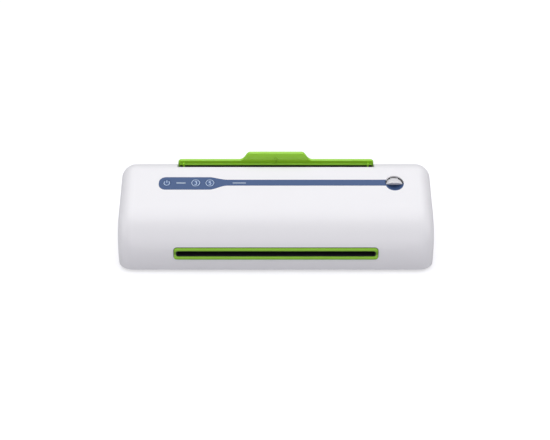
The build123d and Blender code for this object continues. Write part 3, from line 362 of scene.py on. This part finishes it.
def legend(name, key, body, strokes):
    """Print strokes on top of a key, and let them move with it."""
    piece = bpy.data.objects.new(name, stroke_mesh(strokes, PRINT_HEIGHT))
    bpy.context.collection.objects.link(piece)
    piece.data.transform(PANEL @ Matrix.Translation((middle_x(key), 0.0, -PRINT_SINK)))
    piece.data.materials.append(ink)
    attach(piece, body)


def key_legends():
    for key, body, digit in (("thin_pouch_button", "thin_key", numeral_three),
                             ("thick_pouch_button", "thick_key", numeral_five)):
        strokes = [(soft_hexagon(RING_RADIUS), RING_LINE, True)] + digit(DIGIT_HEIGHT)
        legend(key + "_legend", key, body, strokes)
    legend("power_button_legend", "power_button", "power_key", power_mark(POWER_RADIUS))


# ---- arrow on the tray's tab ------------------------------------------------------------------
TRAY_THICK = 3.0 * MM
TAB_START = 65.1 * MM
TAB_BEND = 24.0 * MM
ARROW_BASE, ARROW_NECK, ARROW_TIP = 62.6 * MM, 68.2 * MM, 73.6 * MM
ARROW_STEM, ARROW_HEAD = 1.7 * MM, 5.0 * MM
ARROW_HEIGHT = 0.45 * MM
ARROW_SINK = 0.05 * MM
ARROW_RISE = 0.5 * MM       # length over which the arrow's ends rise to full height
ARROW_CHAMFER = 0.25 * MM
ARROW_ROWS = 40


def tray_point(x, along, lift):
    """Point on the tray's front face.

    along runs up the tray and round the tab's curl, and lift stands off the face.
    """
    radius = TAB_BEND + TRAY_THICK / 2
    if along <= TAB_START:
        local = Vector((x, -TRAY_THICK / 2 - lift, along))
    else:
        angle = (along - TAB_START) / radius
        reach = radius + lift
        local = Vector((x, TAB_BEND - reach * cos(angle), TAB_START + reach * sin(angle)))
    return Matrix.Translation(TRAY_HINGE) @ Matrix.Rotation(TRAY_LEAN, 4, "X") @ local


def tab_arrow():
    """Low raised arrow, drawn as a grid of rows so that it follows the curl of the tab."""
    blunt_tip = 0.05 * MM
    lowest_rise = 0.05
    crown = 1.02
    build = bmesh.new()
    levels = []
    for row in range(ARROW_ROWS + 1):
        along = ARROW_BASE + (ARROW_TIP - ARROW_BASE) * row / ARROW_ROWS
        if along < ARROW_NECK:
            half = ARROW_STEM
        else:
            half = ARROW_HEAD * (ARROW_TIP - along) / (ARROW_TIP - ARROW_NECK) + blunt_tip
        rise = min(1.0, (along - ARROW_BASE) / ARROW_RISE + lowest_rise,
                   (ARROW_TIP - along) / ARROW_RISE + lowest_rise)
        shoulder = max(half - ARROW_CHAMFER, 0.3 * half)
        top = ARROW_HEIGHT * rise
        profile = ((-half, -ARROW_SINK), (-shoulder, top), (0, top * crown), (shoulder, top),
                   (half, -ARROW_SINK))
        levels.append([build.verts.new(tray_point(x, along, lift)) for x, lift in profile])
    for lower, upper in zip(levels, levels[1:]):
        for step in range(len(lower) - 1):
            build.faces.new((lower[step], lower[step + 1], upper[step + 1], upper[step]))
        build.faces.new((lower[-1], lower[0], upper[0], upper[-1]))
    build.faces.new(levels[0])
    build.faces.new(list(reversed(levels[-1])))
    bmesh.ops.recalc_face_normals(build, faces=build.faces)
    mesh = bpy.data.meshes.new("tray_arrow")
    build.to_mesh(mesh)
    build.free()
    mesh.polygons.foreach_set("use_smooth", [True] * len(mesh.polygons))
    piece = bpy.data.objects.new("tray_arrow", mesh)
    bpy.context.collection.objects.link(piece)
    # Darker green: painted shade along the arrow's outlines.
    mesh.materials.append(green_relief_painted_shade)
    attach(piece, "tray")


# ---- black ring painted as the shadow line round the exit frame ----------------------------------
FRONT_RADIUS = 60.0 * MM
FRONT_CENTRE_Z = 12.0 * MM
FRAME_CORNER = 4.0 * MM
SHADOW_RING_RADIUS = 0.42 * MM
SHADOW_RING_GAP = 0.15 * MM
SHADOW_RING_SIDES = 8


def frame_outline(half, low, high, corner, steps=8):
    """Rounded rectangle in front view, laid on the cover's domed front."""
    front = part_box("top_cover")[0][1]
    outline = []
    for cx, cz, start in ((half - corner, high - corner, 0), (corner - half, high - corner, 90),
                          (corner - half, low + corner, 180), (half - corner, low + corner, 270)):
        outline += arc(cx, cz, corner, corner, start, start + 90, steps)
    return [Vector((x, front + FRONT_RADIUS - (FRONT_RADIUS**2 - (z - FRONT_CENTRE_Z)**2)**0.5, z))
            for x, z in outline]


def frame_shadow_ring():
    """Thin black ring between the green exit frame and the cover: painted shadow for the shadow line
    there.
    """
    low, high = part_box("exit_bezel")
    points = frame_outline(high[0] + SHADOW_RING_GAP, low[2] - SHADOW_RING_GAP, high[2] + SHADOW_RING_GAP, FRAME_CORNER)
    build = bmesh.new()
    rings = []
    for index, point in enumerate(points):
        along = (points[(index + 1) % len(points)] - points[index - 1]).normalized()
        across = along.cross(Vector((0, 1, 0))).normalized()
        out = across.cross(along).normalized()
        ring = []
        for step in range(SHADOW_RING_SIDES):
            angle = 2 * pi * step / SHADOW_RING_SIDES
            offset = across * cos(angle) + out * sin(angle)
            ring.append(build.verts.new(point + offset * SHADOW_RING_RADIUS))
        rings.append(ring)
    for index, ring in enumerate(rings):
        after = rings[(index + 1) % len(rings)]
        for step in range(SHADOW_RING_SIDES):
            turn = (step + 1) % SHADOW_RING_SIDES
            build.faces.new((ring[step], ring[turn], after[turn], after[step]))
    bmesh.ops.recalc_face_normals(build, faces=build.faces)
    mesh = bpy.data.meshes.new("frame_shadow_ring")
    build.to_mesh(mesh)
    build.free()
    mesh.polygons.foreach_set("use_smooth", [True] * len(mesh.polygons))
    # Black rubber colour: painted shadow along the frame's edge.
    mesh.materials.append(gland)
    piece = bpy.data.objects.new("frame_shadow_ring", mesh)
    bpy.context.collection.objects.link(piece)
    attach(piece, "frame")


LIP_PLACE = 0.36    # from the frame's middle to a lip's middle, as a share of its height
LIP_HALF = 0.13     # half a lip, as a share of the frame's height
LIP_DEPTH = 0.7 * MM


def pillow(material, node, depth):
    """Bump that rounds the exit frame's two lips, above and below its slot, like half-round beads."""
    tree = material.node_tree
    shader = tree.nodes["Principled BSDF"]
    low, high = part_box(node)
    middle = (low[2] + high[2]) / 2
    height = high[2] - low[2]
    place = tree.nodes.new("ShaderNodeTexCoord")
    split = tree.nodes.new("ShaderNodeSeparateXYZ")
    tree.links.new(place.outputs["Object"], split.inputs["Vector"])
    value = split.outputs["Z"]
    for operation, number in (("SUBTRACT", middle), ("ABSOLUTE", 0.0), ("SUBTRACT", height * LIP_PLACE),
                              ("DIVIDE", height * LIP_HALF), ("POWER", 2.0)):
        step = tree.nodes.new("ShaderNodeMath")
        step.operation = operation
        step.inputs[1].default_value = number
        tree.links.new(value, step.inputs[0])
        value = step.outputs["Value"]
    bump = tree.nodes.new("ShaderNodeBump")
    bump.invert = True
    bump.inputs["Strength"].default_value = 1.0
    bump.inputs["Distance"].default_value = depth
    tree.links.new(value, bump.inputs["Height"])
    tree.links.new(bump.outputs["Normal"], shader.inputs["Normal"])


# ---- floor, light and camera --------------------------------------------------------------------
FLOOR_SIZE = 12.0
FLOOR_COLOUR = (0.52, 0.52, 0.54)
FLOOR_ROUGHNESS = 0.9
FLOOR_GLOW = 0.56
WORLD_COLOUR = (0.93, 0.93, 1.0)
WORLD_STRENGTH = 0.38
# Each light's name, place, aim, size, power in watts and colour.
LIGHTS = (
    ("overhead", (0.0, 0.25, 1.5), (0, 0.0, 0.0), (2.6, 1.6), 21.0, (1.0, 1.0, 1.0)),
    ("front_fill", (0.0, -1.8, 0.8), (0, 0, 0.05), (2.4, 0.9), 8.5, (0.985, 0.95, 1.0)),
    ("left_fill", (-1.7, -0.3, 0.7), (0, 0, 0.05), (1.0, 1.0), 4.0, (1.0, 1.0, 1.0)),
    ("right_fill", (1.7, -0.3, 0.7), (0, 0, 0.05), (1.0, 1.0), 4.0, (1.0, 1.0, 1.0)),
)


def floor():
    """Pale floor that stays near white for the camera and throws back less light than it shows."""
    bpy.ops.mesh.primitive_grid_add(x_subdivisions=8, y_subdivisions=8, size=FLOOR_SIZE)
    ground = bpy.context.active_object
    ground.name = "floor"
    material = bpy.data.materials.new("floor")
    material.use_nodes = True
    tree = material.node_tree
    shader = tree.nodes["Principled BSDF"]
    shader.inputs["Base Color"].default_value = (*FLOOR_COLOUR, 1.0)
    shader.inputs["Roughness"].default_value = FLOOR_ROUGHNESS
    glow = tree.nodes.new("ShaderNodeEmission")
    glow.inputs["Color"].default_value = (1.0, 1.0, 1.0, 1.0)
    path = tree.nodes.new("ShaderNodeLightPath")
    strength = tree.nodes.new("ShaderNodeMath")
    strength.operation = "MULTIPLY"
    strength.inputs[1].default_value = FLOOR_GLOW
    both = tree.nodes.new("ShaderNodeAddShader")
    tree.links.new(path.outputs["Is Camera Ray"], strength.inputs[0])
    tree.links.new(strength.outputs["Value"], glow.inputs["Strength"])
    tree.links.new(shader.outputs["BSDF"], both.inputs[0])
    tree.links.new(glow.outputs["Emission"], both.inputs[1])
    tree.links.new(both.outputs["Shader"], tree.nodes["Material Output"].inputs["Surface"])
    ground.data.materials.append(material)


def area_light(name, place, aim, size, power, colour):
    data = bpy.data.lights.new(name, "AREA")
    data.shape = "RECTANGLE"
    data.size, data.size_y = size
    data.energy = power
    data.color = colour
    lamp = bpy.data.objects.new(name, data)
    bpy.context.collection.objects.link(lamp)
    lamp.location = place
    lamp.rotation_euler = (Vector(aim) - Vector(place)).to_track_quat("-Z", "Y").to_euler()


def studio():
    for light in LIGHTS:
        area_light(*light)
    world = bpy.data.worlds.new("studio")
    world.use_nodes = True
    backdrop = world.node_tree.nodes["Background"]
    backdrop.inputs["Color"].default_value = (*WORLD_COLOUR, 1.0)
    backdrop.inputs["Strength"].default_value = WORLD_STRENGTH
    bpy.context.scene.world = world
    bpy.context.scene.view_settings.view_transform = "Standard"


CAMERA_ELEVATION = 36.0   # degrees above the horizontal
CAMERA_DISTANCE = 1.488   # metres
CAMERA_LENS = 77.45       # millimetres
SENSOR_WIDTH = 36.0       # millimetres
CAMERA_CENTRE = Vector((0.0, 0.0, 0.045))
CAMERA_AIM = Vector((-0.0011, 0.0, 0.0312))


def camera():
    tilt = radians(CAMERA_ELEVATION)
    place = CAMERA_CENTRE + CAMERA_DISTANCE * Vector((0.0, -cos(tilt), sin(tilt)))
    place.x = CAMERA_AIM.x
    data = bpy.data.cameras.new("camera")
    data.lens = CAMERA_LENS
    data.sensor_width = SENSOR_WIDTH
    view = bpy.data.objects.new("camera", data)
    bpy.context.collection.objects.link(view)
    view.location = place
    view.rotation_euler = (CAMERA_AIM - place).to_track_quat("-Z", "Y").to_euler()
    bpy.context.scene.camera = view


pillow(green_frame_painted_shade, "exit_bezel", LIP_DEPTH)
dress_cad_nodes()
soften_edges("exit_bezel", 0.6 * MM)
soften_edges("input_tray", 0.5 * MM)
soften_edges("release_lever", 0.3 * MM)
key_legends()
tab_arrow()
frame_shadow_ring()
floor()
studio()
camera()
